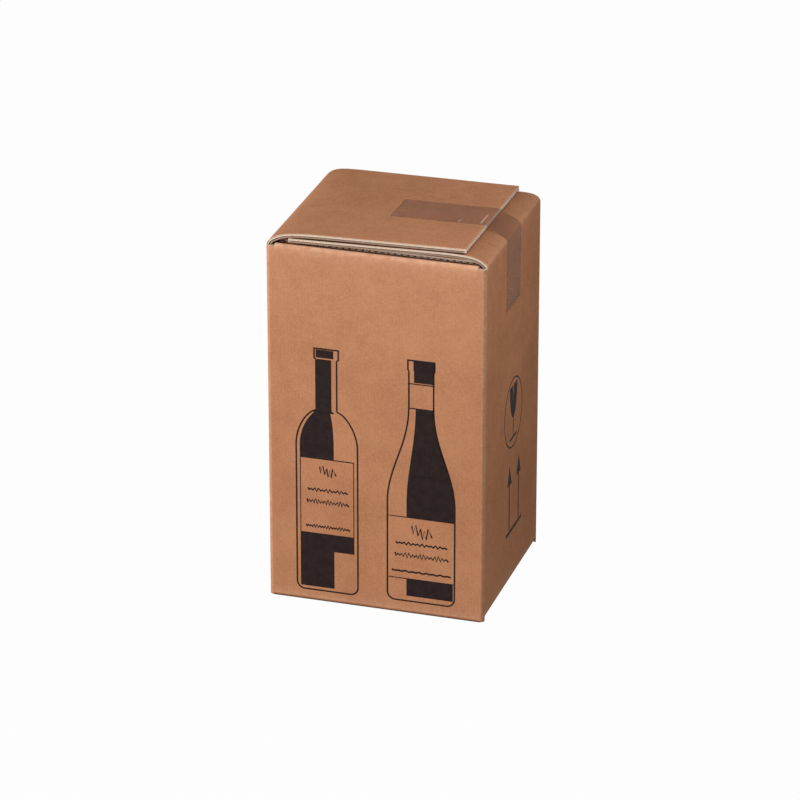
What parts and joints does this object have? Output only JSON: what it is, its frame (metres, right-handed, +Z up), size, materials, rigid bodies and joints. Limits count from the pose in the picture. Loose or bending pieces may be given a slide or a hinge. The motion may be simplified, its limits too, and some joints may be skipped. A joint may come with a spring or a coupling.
{
  "type": "wine bottle box",
  "caption": "Upright folded shipping carton of double-wall corrugated board for wine bottles, closed by overlapping taped flaps, with interlocking dividers inside.",
  "frame": {"origin": "middle of the base, on the floor", "axes": "+Z up, +X to the right along the printed front wall, front wall facing -Y"},
  "size_m": [0.2263, 0.2, 0.4008],
  "materials": {
    "board": "brown kraft liner, matt",
    "divider_board": "recycled brown board, matt",
    "tape": "clear packing tape, slightly glossy"
  },
  "bodies": {
    "root": {"carton": "board", "divider_long": "divider_board", "divider_cross": "divider_board", "closing_tape": "tape"}
  },
  "joints": []
}
